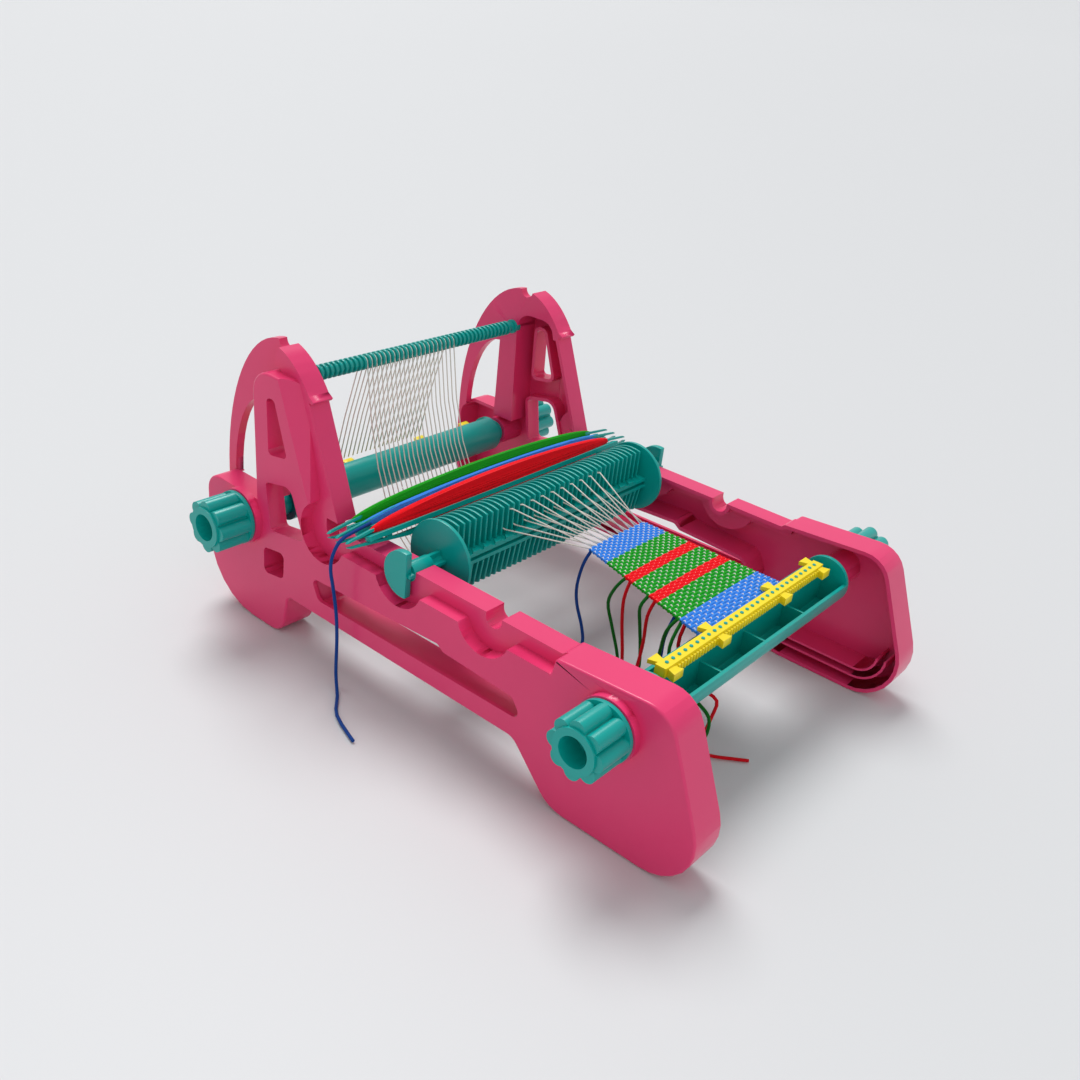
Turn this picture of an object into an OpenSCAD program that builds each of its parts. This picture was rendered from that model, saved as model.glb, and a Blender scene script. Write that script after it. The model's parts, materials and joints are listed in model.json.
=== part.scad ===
// Table loom with two moulded side frames, two turning beams, a rocking heddle,
// three wound shuttles and a half-finished striped cloth.
// X runs across the loom, Y from the weaver (-Y) to the tower (+Y), Z up. Z = 0 is the table.

/* [Side frames] */
// Clear width between the side frames
inner_w = 220; // [190:1:265]
// Overall length of a side frame
frame_l = 407; // [390:1:490]
// Height of the rails that carry the heddle and the shuttles
rail_h = 95; // [90:1:110]
// Height of the arched tower
tower_h = 197; // [185:1:230]
// Thickness of a side frame, from its inner rim to its outer face
frame_t = 24; // [21:0.1:30]
// Width of the raised inner rail
rail_w = 15; // [13:0.5:17]
// Wall thickness of the mouldings
wall = 2.6; // [2:0.1:3.1]
// Depth of the outer ledge below the rail top
ledge_drop = 9; // [7:0.5:11]
// Thickness of the flat arch of the tower
arch_t = 6; // [5:0.5:8]

/* [Beams and knobs] */
// Outside radius of the cloth beam
beam_r = 16.5; // [14:0.5:19]
// Outside radius of the warp beam
warp_beam_r = 13.5; // [12:0.5:15.5]
// Wall of a beam
beam_wall = 2.2; // [1.8:0.1:2.6]
// Radius of the beam axles
axle_r = 6; // [5:0.1:7]
// Radial running clearance of every journal
run_gap = 0.05; // [0.02:0.01:0.1]
// Radius over the lobes of a knob
knob_r = 18; // [15.5:0.5:21]
// Length of a knob
knob_l = 26; // [22:0.5:31]
// Height of a beam axis above the table
beam_z = 76; // [72:0.5:80]

/* [Heddle] */
// Radius of the heddle end discs
disc_r = 25; // [20.5:0.1:27]
// Number of heddle fins
fin_n = 38; // [32:1:45]
// Thickness of a fin
fin_t = 1.6; // [1.2:0.1:1.9]
// Radius of the heddle journals
journal_r = 5.9; // [5:0.1:7]
// Radius of the half-round handles
handle_r = 15; // [12.5:0.5:17.5]
// Distance between two heddle saddles
saddle_pitch = 68; // [60:1:80]

/* [Thread rod] */
// Outside radius of the grooved thread rod
rod_r = 5.3; // [4.5:0.1:6]
// Height of the rod axis
rod_z = 166; // [150:1:170]

/* [Shuttles] */
// How much longer a shuttle is than the loom is wide over its side frames
shuttle_over = 6; // [0:1:20]
// Width of a shuttle
shuttle_w = 15; // [13:0.5:18]
// Thickness of a shuttle
shuttle_t = 3; // [2.5:0.1:3.6]

/* [Cloth and yarn] */
// Thickness of the woven cloth
cloth_t = 2; // [1.6:0.1:2.4]
// Thickness of a warp thread
warp_d = 0.9; // [0.7:0.1:1.1]
// Number of warp threads
warp_n = 21; // [15:2:25]
// Thickness of the weft yarn
yarn_d = 2.2; // [1.8:0.1:2.6]

/* [Hidden] */
$fn = 48;
eps = 0.5;                      // how far a cut runs past a face
soft_gap = 0.4;                 // air between a soft piece and its neighbours

// Planes across the loom
xi = inner_w/2;                 // inner rim of a side frame
xo = xi + frame_t;              // outer face
x_rail = xi + rail_w;           // outer side of the rail, the hook and the leg
x_arch = xi + arch_t;           // outer side of the flat arch

// Places along the loom
y_front = -frame_l/2;
y_back = frame_l/2;
y_tower = y_back - 58.5;        // middle of the arch
y_foot = y_tower - 66;          // where the tower's front leg meets the rail
y_block = y_front + 103;        // step from the ledge up to the front block
y_heddle = y_foot - 62;
y_cloth = y_front + 61;         // cloth beam axis
y_warp = y_back - 41;           // warp beam axis
y_rod = y_tower + 8.5;

// Heights
z_ledge = rail_h - ledge_drop;
z_shaft = rail_h - 2;           // heddle axis
z_under = 32;                   // underside of the long beam of a frame
z_arch = rail_h - 5;            // springing line of the arch
arch_a = 58.5;                  // half width of the arch
arch_b = tower_h - z_arch;      // rise of the arch

// ---- Outlines: lists of [y, z, corner radius], counter-clockwise ----
function flat(p) = [p[0], p[1]];
function unit(v) = v/norm(v);
function left(v) = [-v[1], v[0]];
function spin(v, a) = [v[0]*cos(a) - v[1]*sin(a), v[0]*sin(a) + v[1]*cos(a)];
function turn(e, f) = atan2(e[0]*f[1] - e[1]*f[0], e*f);
function before(c, i) = unit(flat(c[i]) - flat(c[(i + len(c) - 1) % len(c)]));
function after(c, i) = unit(flat(c[(i + 1) % len(c)]) - flat(c[i]));

// One rounded corner as points of its arc
function corner(p, e, f, r) =
  let(a = turn(e, f), s = sign(a), n = max(1, ceil(abs(a)/15)))
  r < 0.05 || abs(a) < 1 ? [p] :
  let(o = p - e*r*tan(abs(a)/2) + left(e)*r*s)
  [for (k = [0:n]) o + spin(-left(e)*r*s, a*k/n)];
function rounded(c) = [for (i = [0:len(c) - 1]) each corner(flat(c[i]), before(c, i), after(c, i), c[i][2])];

// The same outline moved inwards by d, so a wall keeps its thickness round every corner
function inset(c, d) = [for (i = [0:len(c) - 1])
  let(e = before(c, i), f = after(c, i), m = flat(c[i]) + (left(e) + left(f))*d/(1 + e*f))
  [m[0], m[1], turn(e, f) > 0 ? max(c[i][2] - d, 0.3) : c[i][2] + d]];

// Long body of a side frame: front block, beam and rear foot, with its top at height h behind the block
function body_outline(h) = [
  [y_front - 14.3, 0, 30], [y_front + 94, 0, 24], [y_front + 124, z_under, 10],
  [y_tower - 26, z_under, 5], [y_tower - 20, 0, 14], [y_back, 0, 46], [y_back, rail_h - 2, 13],
  [y_foot + 40, rail_h - 3, 1], [y_foot + 39, h, 1], [y_block, h, 1.5], [y_block - 2, rail_h + 2, 3],
  [y_front + 28, rail_h + 7, 20]];
body_high = body_outline(rail_h);
body_low = body_outline(z_ledge);

// Front edge of the tower's leg, from the foot up to the tip of the hook
z_hook = tower_h - 28;
leg_run = 29;                   // the leg's top stands this far behind its foot
function leg_y(z) = y_foot + (z - rail_h)*leg_run/(z_hook - rail_h);
lean = atan2(z_hook - rail_h, leg_run); // the leg's slope; the shuttles lean the same way
z_leg = z_under + 20;           // the leg's root inside the body
leg_outline = [
  [leg_y(z_leg), z_leg, 1], [y_foot + 40, z_leg, 1],
  [y_tower + 4, z_hook, 4], [leg_y(z_hook), z_hook, 2]];

// The raised letter-shaped panel behind the leg, which slants outwards from the leg's crease
panel_crease = 5;
panel_slant = 42;
panel = [
  [y_foot + panel_crease, z_under + 18, 1], [y_tower + 2, z_under + 18, 1],
  [y_tower + 7, tower_h - 16, 15], [leg_y(z_hook) + panel_crease, tower_h - 16, 14]];

// Openings
hole_upper = [[y_tower - 27, z_hook - 38, 3], [y_tower - 8.5, z_hook - 41, 3],
  [y_tower - 7.5, z_hook - 3, 3.5], [y_tower - 15, z_hook - 3, 3.5]];
hole_lower = [[y_tower - 43, z_arch - 10, 3], [y_tower - 10, z_arch - 15, 3],
  [y_tower - 5, z_arch + 18, 3], [y_tower - 30, z_arch + 23, 8]];
window_long = [[y_block + 15, z_under + 14, 4], [y_tower - 57, z_under + 12, 5],
  [y_tower - 50, z_under + 26, 4], [y_heddle - 35, rail_h - 31, 3], [y_heddle - 40, rail_h - 34.5, 3],
  [y_block + 24, rail_h - 36.5, 6]];
// Behind the outer face the window's sill is lower
window_deep = [for (i = [0:len(window_long) - 1]) let(p = window_long[i])
  [p[0], i < 2 ? p[1] - 4 : p[1], p[2]]];
pocket = [[y_tower - 22, z_under + 12, 4], [y_tower - 2, z_under + 9, 4],
  [y_tower - 2, z_under + 28, 4], [y_tower - 23, z_under + 31, 4]];
function arch_point(a, t) = [y_tower + (arch_a - t)*cos(a), z_arch + (arch_b - t)*sin(a)];

saddles = [for (k = [-1:1]) y_heddle + k*saddle_pitch];
recess_r = handle_r + 5;        // half-round recess that a handle turns in
saddle_open = 6;                // height of a saddle's open mouth above the heddle axis
boss_r = knob_r + 1;            // ring moulded round each knob
boss_t = 5;
crown_notch_r = 5.5;            // half-round notch in the crown of the arch
hole_rim = 13;                  // depth of the rims round the openings of the panel
hub_wall = 5;                   // wall of the hub that an axle turns in

// A 2D outline in the YZ plane, extruded from x = a to x = b
module slab(a, b) { translate([a, 0, 0]) rotate([90, 0, 90]) linear_extrude(b - a) children(); }
// A cylinder along X
module bar(a, b, y, z, r) { translate([a, y, z]) rotate([0, 90, 0]) cylinder(r = r, h = b - a); }

module arch_2d() {
  polygon([for (k = [0:26]) arch_point(k*5, 0), [leg_y(z_hook), z_hook], [leg_y(rail_h), rail_h - 6],
    [y_back, rail_h - 12]]);
}
module hook_2d() {
  polygon([for (k = [0:11]) arch_point(96 + k*3, 0), [leg_y(z_hook) - 4, z_hook + 1.5],
    [leg_y(z_hook) - 3, z_hook], [leg_y(z_hook) + 8, z_hook], for (k = [0:8]) arch_point(120 - k*3, 13)]);
}
module rear_window_2d() {
  polygon([[y_tower + 20, rail_h - 6], [y_tower + 23, rail_h - 8], [y_tower + 45, rail_h - 8],
    for (k = [0:10]) [y_tower + 20 + 31*cos(k*9), z_arch + 62*sin(k*9)]]);
}

// The panel's solid, or the space inside it when d is the thickness of its wall
module raised_panel(d) {
  difference() {
    slab(xi - d, xo - d) polygon(rounded(inset(panel, d)));
    translate([x_rail, y_foot + panel_crease, rail_h]) rotate([lean - 90, 0, 0]) rotate([0, 0, panel_slant])
      translate([-rail_w, d - frame_t, -rail_h]) cube([3*frame_t, frame_t, 2*tower_h]);
  }
}

// One side frame, drawn on the +X side
module side_frame() {
  difference() {
    union() {
      slab(xi, xo) polygon(rounded(body_low));
      slab(xi, x_rail) polygon(rounded(body_high));
      slab(xi, x_arch) arch_2d();
      slab(xi, x_rail) hook_2d();
      slab(xi, x_rail) polygon(rounded(leg_outline));
      raised_panel(0);
      bar(xo - 1, xo + boss_t, y_cloth, beam_z, boss_r);
      bar(xo - 1, xo + boss_t, y_warp, beam_z, boss_r);
    }
    frame_hollow();
    slab(xi - eps, xo + eps) polygon(rounded(window_long));
    slab(xi - eps, xo - wall) polygon(rounded(window_deep));
    slab(xi - eps, xo + eps) polygon(rounded(hole_upper));
    slab(xi - eps, xo + eps) polygon(rounded(hole_lower));
    slab(xi - eps, x_arch + eps) rear_window_2d();
    slab(xi + 8, xo + eps) polygon(rounded(pocket));
    bar(xi - eps, xo + boss_t + eps, y_cloth, beam_z, axle_r + run_gap);
    bar(xi - eps, xo + boss_t + eps, y_warp, beam_z, axle_r + run_gap);
    bar(xi - eps, xi + rod_seat, y_rod, rod_z, rod_r);
    bar(xi - eps, x_rail + eps, y_tower - 3, tower_h, crown_notch_r);
    for (y = saddles) {
      bar(x_rail, xo + eps, y, z_shaft, recess_r);
      bar(xi - eps, xo + eps, y, z_shaft, journal_r + run_gap);
      translate([xi - eps, y - journal_r - run_gap, z_shaft])
        cube([frame_t, 2*(journal_r + run_gap), saddle_open]);
    }
  }
}

// Space inside the shell, open towards the middle of the loom
module frame_hollow() {
  difference() {
    union() {
      slab(xi - eps, xo - wall) polygon(rounded(inset(body_low, wall)));
      slab(xi - eps, x_rail - wall) polygon(rounded(inset(body_high, wall)));
      slab(xi - eps, x_rail - wall) polygon(rounded(inset(leg_outline, wall)));
      raised_panel(wall);
    }
    slab(xi, xo) polygon(rounded(inset(window_deep, -wall)));
    slab(xo - hole_rim, xo) polygon(rounded(inset(hole_upper, -wall)));
    slab(xo - hole_rim, xo) polygon(rounded(inset(hole_lower, -wall)));
    slab(xi + 8 - wall, xo) polygon(rounded(inset(pocket, -wall)));
    bar(xi, xo, y_cloth, beam_z, axle_r + hub_wall);
    bar(xi, xo, y_warp, beam_z, axle_r + hub_wall);
    for (y = saddles) {
      bar(x_rail - wall, xo, y, z_shaft, recess_r + wall);
      bar(xi, xo, y, z_shaft, journal_r + run_gap + wall);
    }
    floor_rib(9);
    floor_rib(15);
  }
}
// A low rib inside the front block that follows its foot
module floor_rib(d) {
  slab(xi + 2, xo) intersection() {
    difference() {
      polygon(rounded(inset(body_low, d)));
      polygon(rounded(inset(body_low, d + 1.6)));
    }
    translate([y_front, 0]) square([96, 30]);
  }
}
module side_frame_right() color("#D9467F") side_frame();
module side_frame_left() color("#D9467F") mirror([1, 0, 0]) side_frame();

// ---- Beams: a half-round trough, closed by a disc at each end, with a pegged rib for the comb ----
beam_x = xi - 8;                // outer side of an end disc
beam_end_t = 3;
end_float = 0.5;                // air between a collar and its frame
beam_lip = 3;                   // the lips of the trough above its axis
rib_y = 2.5;                    // the pegged rib stands this far behind the axis
rib_t = 2;
peg_pitch = 6;
peg_n = 2*floor((beam_x - 14)/peg_pitch) + 1;
peg_r = 1.1;
comb_z = 9.5;                   // underside of the comb above the axis
comb_h = 6;
comb_w = 7;
tab_w = 5;
tab_reach = 9;
cross_rib_pitch = 48;
collar_r = axle_r + 3;

module at_axis(y, tilt) { translate([0, y, beam_z]) rotate([tilt, 0, 0]) children(); }
function peg_x(k) = (k - (peg_n - 1)/2)*peg_pitch;
module peg_holes(h, grow) {
  for (k = [0:peg_n - 1]) translate([peg_x(k), rib_y, comb_z - grow])
    cylinder(r = peg_r, h = h + 2*grow, $fn = 16);
}
module below(r, z) { intersection() { circle(r); translate([-r, -r]) square([2*r, r + z]); } }
module beam(r) {
  slab(-beam_x, beam_x) difference() { below(r, beam_lip); circle(r - beam_wall); }
  for (s = [0, 1]) mirror([s, 0, 0]) bar(beam_x - beam_end_t, beam_x, 0, 0, r);
  slab(-beam_x + 1, beam_x - 1) translate([rib_y - rib_t/2, -r + 1]) square([rib_t, r - 1 + comb_z]);
  peg_holes(comb_h + 0.6, 0);
  for (k = [-1:1]) slab(k*cross_rib_pitch - 0.8, k*cross_rib_pitch + 0.8) below(r - 1, beam_lip - 2);
}
cloth_rise = 2;                 // middle of the cloth above the underside of the comb
tab_z = cloth_rise + cloth_t/2 + soft_gap;  // the tabs that reach back pass over the cloth
// A tab flares from the bar to its end
module tab(z, h) {
  translate([0, 0, z]) linear_extrude(h) polygon([[-tab_w/2, 0], [-tab_w/2, -comb_w/2],
    [-tab_w*0.9, -tab_reach], [tab_w*0.9, -tab_reach], [tab_w/2, -comb_w/2], [tab_w/2, 0]]);
}
module comb() {
  x_end = peg_x(peg_n - 1) + 6;
  x_tab = x_end - tab_w;
  difference() {
    union() {
      slab(-x_end, x_end) translate([rib_y - comb_w/2, comb_z]) square([comb_w, comb_h]);
      for (x = [-x_tab, -x_tab*0.42, x_tab*0.42, x_tab]) translate([x, rib_y, 0]) {
        tab(comb_z, comb_h - 1);
        mirror([0, 1, 0]) tab(comb_z + tab_z, comb_h - tab_z);
      }
      for (k = [0:2*peg_n - 2]) translate([peg_x(k/2) - 0.9, rib_y - comb_w/2 - 1.6, comb_z])
        cube([1.8, 3, comb_h - 1.5]);
    }
    peg_holes(comb_h, eps);
  }
}
axle_in = 12;                   // how far an axle reaches into its knob
module axle() {
  bar(beam_x, xi - end_float, 0, 0, collar_r);
  bar(beam_x, xo + boss_t + axle_in, 0, 0, axle_r);
}
knob_x = xo + boss_t + end_float;
lobe_r = 5;
mouth_r = 9;
module knob() {
  difference() {
    union() {
      bar(knob_x, knob_x + 2.5, 0, 0, knob_r);
      bar(knob_x, knob_x + knob_l, 0, 0, knob_r - 4.5);
      for (k = [0:7]) bar(knob_x, knob_x + knob_l - 1.5,
        (knob_r - lobe_r)*cos(k*45), (knob_r - lobe_r)*sin(k*45), lobe_r);
    }
    bar(knob_x - eps, knob_x + knob_l + eps, 0, 0, axle_r);
    bar(knob_x + axle_in - end_float, knob_x + knob_l + eps, 0, 0, mouth_r);
  }
}
warp_tilt = -80;                // the warp beam rests with its opening to the back
teal = "#0FA096";
yellow = "#F5DC14";
module at_left(y) { at_axis(y, 0) mirror([1, 0, 0]) children(); }
module cloth_beam() color(teal) at_axis(y_cloth, 0) beam(beam_r);
module cloth_comb() color(yellow) at_axis(y_cloth, 0) comb();
module cloth_beam_axle_left() color(teal) at_left(y_cloth) axle();
module cloth_beam_axle_right() color(teal) at_axis(y_cloth, 0) axle();
module cloth_knob_left() color(teal) at_left(y_cloth) knob();
module cloth_knob_right() color(teal) at_axis(y_cloth, 0) knob();
module warp_beam() color(teal) at_axis(y_warp, warp_tilt) beam(warp_beam_r);
module warp_comb() color(yellow) at_axis(y_warp, warp_tilt) comb();
module warp_beam_axle_left() color(teal) at_left(y_warp) axle();
module warp_beam_axle_right() color(teal) at_axis(y_warp, 0) axle();
module warp_knob_left() color(teal) at_left(y_warp) knob();
module warp_knob_right() color(teal) at_axis(y_warp, 0) knob();

// ---- Grooved rod that spreads the warp ----
rod_pitch = 4.15;
rod_ridge = 2.1;
rod_n = 2*floor((xi - 4)/rod_pitch);
rod_core = rod_r - 1.9;
rod_seat = arch_t - 2;          // depth of a rod's socket in a frame
module thread_rod() color(teal) {
  bar(-xi - rod_seat, xi + rod_seat, y_rod, rod_z, rod_core);
  for (k = [0:rod_n - 1]) let(x = (k - (rod_n - 1)/2)*rod_pitch)
    bar(x - rod_ridge/2, x + rod_ridge/2, y_rod, rod_z, rod_r);
  for (s = [0, 1]) mirror([s, 0, 0]) bar(xi - 2, xi + rod_seat, y_rod, rod_z, rod_r);
}

// ---- Heddle: one shaft with end discs, rows of fins above and below, and a handle at each end ----
disc_x = xi - 10;               // outer side of a heddle disc
disc_t = 2.5;
fin_pitch = 5;
ledge_f = disc_r/2;             // reach of the ledges towards the weaver
ledge_b = 10;                   // and towards the back
ledge_t = 2.4;
slot_z = 0.6;                   // top of the dark slot between the ledges
scallop_h = 1.2;
handle_x = x_rail + 1.5;        // inner side of a handle
handle_t = 4.5;
handle_cap = 1.5;
handle_edge = 3.6;              // a handle's straight edge lies this far from the shaft's axis
spoke_t = 2.4;

module at_heddle() { translate([0, y_heddle, z_shaft]) children(); }
function fin_x(k) = (k - (fin_n - 1)/2)*fin_pitch;
module cross_2d() {
  intersection() {
    circle(journal_r);
    union() {
      circle(journal_r*0.55);
      for (a = [0, 90]) rotate(a) square([2*journal_r, spoke_t], center = true);
    }
  }
}
module heddle_spine() color(teal) at_heddle() {
  x = disc_x - disc_t;
  for (z = [-slot_z - 1.5*ledge_t, slot_z])
    slab(-x, x) translate([-ledge_f, z]) square([ledge_f + ledge_b, ledge_t]);
  slab(-x, x) translate([-2, -4]) square([4, 6]);
  slab(-x, x) translate([ledge_b - 2, -4]) square([2, 6]);
  for (k = [0:2:fin_n - 3]) translate([fin_x(k + 1) - fin_pitch/2, -ledge_f, slot_z + ledge_t - 0.2])
    linear_extrude(scallop_h + 0.2) polygon([[-3.6, 0], [3.6, 0], [0, 5]]);
  for (s = [0, 1]) mirror([s, 0, 0]) {
    slab(x, handle_x + handle_t - handle_cap) cross_2d();
    bar(xi - 0.4, x_rail + 0.4, 0, 0, journal_r);
  }
}
module heddle_upper_fins() color(teal) at_heddle()
  for (k = [0:fin_n - 1]) slab(fin_x(k) - fin_t/2, fin_x(k) + fin_t/2) intersection() {
    circle(disc_r - 1);
    translate([-ledge_f + 5, slot_z + ledge_t]) square([ledge_f + ledge_b, disc_r]);
  }
module heddle_lower_fins() color(teal) at_heddle()
  for (k = [0:fin_n - 1]) slab(fin_x(k) - fin_t/2, fin_x(k) + fin_t/2) intersection() {
    circle(disc_r - 1);
    polygon([[-ledge_f + 0.5, -slot_z - 1.5*ledge_t], [-ledge_f + 3.5, -disc_r], [ledge_b - 2, -disc_r],
      [ledge_b, -slot_z - 1.5*ledge_t]]);
  }
module end_disc() { difference() {
  bar(disc_x - disc_t, disc_x, 0, 0, disc_r);
  slab(disc_x - disc_t - eps, disc_x + eps) cross_2d();
} }
module handle() { difference() {
  slab(handle_x, handle_x + handle_t) intersection() {
    circle(handle_r);
    translate([-handle_edge, -handle_r]) square([2*handle_r, 2*handle_r]);
  }
  slab(handle_x - eps, handle_x + handle_t - handle_cap) cross_2d();
} }
module heddle_disc_left() color(teal) at_heddle() mirror([1, 0, 0]) end_disc();
module heddle_disc_right() color(teal) at_heddle() end_disc();
module heddle_handle_left() color(teal) at_heddle() mirror([1, 0, 0]) handle();
module heddle_handle_right() color(teal) at_heddle() handle();

// ---- Shuttles: forked flat sticks leaning like the tower's leg, wound lengthwise with yarn ----
shuttle_l = 2*xo + shuttle_over;
shuttle_x = -7;                 // the shuttles lie a little to the left
web_in = 16;                    // a web joins the bars this far inside a winding's end
web_t = 4;
spine_h = 3.2;                  // a straight spine runs along the front of a stick, over the yarn
spine_end = 14;                 // and stops this far from each tip
spine_proud = 0.4;              // it stands this far out of the fullest winding
side_bar = 3;
tip_w = 5;                      // width over the two prongs at a tip
tip_gap = 1;                    // the slit between them
taper_l = 46;                   // how far from a tip the stick starts to narrow
bare_tip = 18;                  // length of each end that the yarn leaves bare
wind_red = 10;                  // thickness of the full winding
wind_thin = 6.5;                // and of the two others
wind_l = shuttle_l - 2*bare_tip;
wind_h = shuttle_w + 3;         // height of a winding
wind_blue_h = shuttle_w - 2;    // the blue one is the most used up
wind_rise = side_bar + 0.5;     // it bulges over the upper bar
y_red = y_heddle + 33;
step_blue = (wind_red/2 + wind_thin/2 + soft_gap)/sin(lean);
step_green = (wind_thin + soft_gap)/sin(lean);
y_blue = y_red + step_blue;
y_green = y_blue + step_green;
z_shuttle = rail_h + 0.3 + shuttle_w/2*sin(lean) + shuttle_t/2*cos(lean);

module at_shuttle(y) { translate([shuttle_x, y, z_shuttle]) rotate([lean, 0, 0]) children(); }
// Half of a stick's outline, from its middle to one tip, that is h wide along its straight part
module half_2d(h, tip, l) {
  polygon([[0, -h/2], [l - taper_l, -h/2], [l - 2, -tip/2], [l, -tip/2 + (tip - tip_gap)/4],
    [l, tip/2 - (tip - tip_gap)/4], [l - 2, tip/2], [l - taper_l, h/2], [0, h/2]]);
}
// front is how far the spine reaches from the middle of the stick's thickness
module shuttle(front) {
  translate([-shuttle_l/2 + spine_end, -spine_h/2, 0]) cube([shuttle_l - 2*spine_end, spine_h, front]);
  translate([0, 0, -shuttle_t/2]) linear_extrude(shuttle_t) for (s = [0, 1]) mirror([s, 0, 0]) difference() {
    half_2d(shuttle_w, tip_w, shuttle_l/2);
    difference() {
      half_2d(shuttle_w - 2*side_bar, tip_gap, shuttle_l/2 + 6);
      translate([-eps, -shuttle_w]) square([eps + 2, 2*shuttle_w]);
      translate([wind_l/2 - web_in, -shuttle_w]) square([web_t, 2*shuttle_w]);
    }
  }
}
// Long blunt lens, h wide at its middle
module lens_2d(l, h, blunt) {
  polygon([for (s = [-1, 1], k = [-11:12]) [-s*k*l/24, s*h/2*pow(1 - pow(k/12, 2), blunt)]]);
}
module winding(t, h, front) {
  difference() {
    intersection() {
      translate([0, wind_rise, -t/2]) linear_extrude(t) lens_2d(wind_l, h, 0.7);
      translate([0, 2*h, 0]) rotate([90, 0, 0]) linear_extrude(4*h) lens_2d(wind_l, t, 0.35);
    }
    shuttle(front);
  }
}
front_red = wind_red/2 + spine_proud;
front_thin = wind_thin/2;
module shuttle_red() color(teal) at_shuttle(y_red) shuttle(front_red);
module shuttle_blue() color(teal) at_shuttle(y_blue) shuttle(front_thin);
module shuttle_green() color(teal) at_shuttle(y_green) shuttle(front_thin);
module winding_red() color("#E60F23") at_shuttle(y_red) winding(wind_red, wind_h, front_red);
module winding_blue() color("#2D82E6") at_shuttle(y_blue) winding(wind_thin, wind_blue_h, front_thin);
module winding_green() color("#14821E") at_shuttle(y_green) winding(wind_thin, wind_h, front_thin);

// ---- Cloth: a panel that widens towards the cloth beam ----
cloth_z = beam_z + comb_z + cloth_rise;     // middle of the cloth
cloth_back = y_heddle - 45;
cloth_front = y_cloth + rib_y + comb_w/2 + soft_gap;
cloth_right = 51.5;
cloth_left_back = -9;           // the left edge at the heddle, which slants out towards the weaver
function cloth_left(y) = cloth_left_back - (cloth_back - y)*0.3;
module woven_cloth() color("#2D82E6") translate([0, 0, cloth_z - cloth_t/2]) linear_extrude(cloth_t)
  polygon([[cloth_left(cloth_back), cloth_back], [cloth_left(cloth_front), cloth_front],
    [cloth_right, cloth_front], [cloth_right, cloth_back]]);

// ---- Threads: round tubes swept along a route ----
function cr(a, b, c, d, t) =
  (2*b + (c - a)*t + (2*a - 5*b + 4*c - d)*t*t + (3*b - a - 3*c + d)*t*t*t)/2;
function route(p, n) = [for (i = [0:len(p) - 2], k = [0:n - 1])
    cr(p[max(i - 1, 0)], p[i], p[i + 1], p[min(i + 2, len(p) - 1)], k/n), p[len(p) - 1]];
function heading(q, i) = unit(q[min(i + 1, len(q) - 1)] - q[max(i - 1, 0)]);
// Each ring's side direction is carried from the ring before it, so the tube never twists
function side_ways(q, v, i = 0) = i >= len(q) ? [] :
  let(t = heading(q, i), u = unit(v - t*(v*t))) [u, each side_ways(q, u, i + 1)];
module tube(q, d, n) {
  side = side_ways(q, abs(heading(q, 0)[0]) > 0.8 ? [0, 1, 0] : [1, 0, 0]);
  m = len(q);
  polyhedron(
    [for (i = [0:m - 1]) let(t = heading(q, i), u = side[i], w = cross(t, u))
      for (k = [0:n - 1]) q[i] + d/2*(u*cos(k*360/n) + w*sin(k*360/n))],
    [[for (k = [0:n - 1]) k], for (i = [0:m - 2], k = [0:n - 1])
      [i*n + k, (i + 1)*n + k, (i + 1)*n + (k + 1) % n, i*n + (k + 1) % n],
     [for (k = [n - 1:-1:0]) (m - 1)*n + k]]);
}

// The warp: over the rod, in a slack loop below the shuttles, through the heddle, into the cloth
wrap_r = rod_core + warp_d/2 + 0.05;
thread_in = 4;                  // a low thread runs this far above the upper ledge
function thread_k(k) = k - (warp_n - 1)/2;
function rod_x(k) = thread_k(k)*rod_pitch;
function slot_x(k) = thread_k(k)*fin_pitch;
function cloth_x(k) = cloth_left(cloth_back) + 1.5
  + (cloth_right - cloth_left(cloth_back) - 3)*k/(warp_n - 1);
function on_rod(x, a) = [x, y_rod + wrap_r*cos(a), rod_z + wrap_r*sin(a)];
function bezier(a, b, c, d, t) =
  a*(1 - t)^3 + 3*b*t*(1 - t)^2 + 3*c*t*t*(1 - t) + d*t^3;
function exit_z(k) = z_shaft + slot_z + ledge_t + (k % 2 == 0 ? thread_in : thread_in + 13);
function exit_point(k) = [slot_x(k), y_heddle - ledge_f + 4.5, exit_z(k)];

module warp_behind_rod() color("#EBE4D7") for (k = [0:warp_n - 1])
  tube([[rod_x(k) - 6, y_warp + 12, beam_z + 11], [rod_x(k) - 3, y_warp + 6, (beam_z + rod_z)/2],
    for (a = [-10:33:188]) on_rod(rod_x(k), a)], warp_d, 6);
module warp_rod_to_heddle() color("#EBE4D7") for (k = [0:warp_n - 1])
  tube([for (t = [0:0.1:1]) bezier(on_rod(rod_x(k), 188), [rod_x(k), y_rod - 18, 20],
      [slot_x(k), y_heddle + 43, 10], [slot_x(k), y_heddle + ledge_b + 7, z_shaft + 8], t), exit_point(k)],
    warp_d, 6);
module warp_heddle_to_cloth() color("#EBE4D7") for (k = [0:warp_n - 1])
  tube([exit_point(k), [cloth_x(k), cloth_back - 1, cloth_z]], warp_d, 6);

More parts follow.
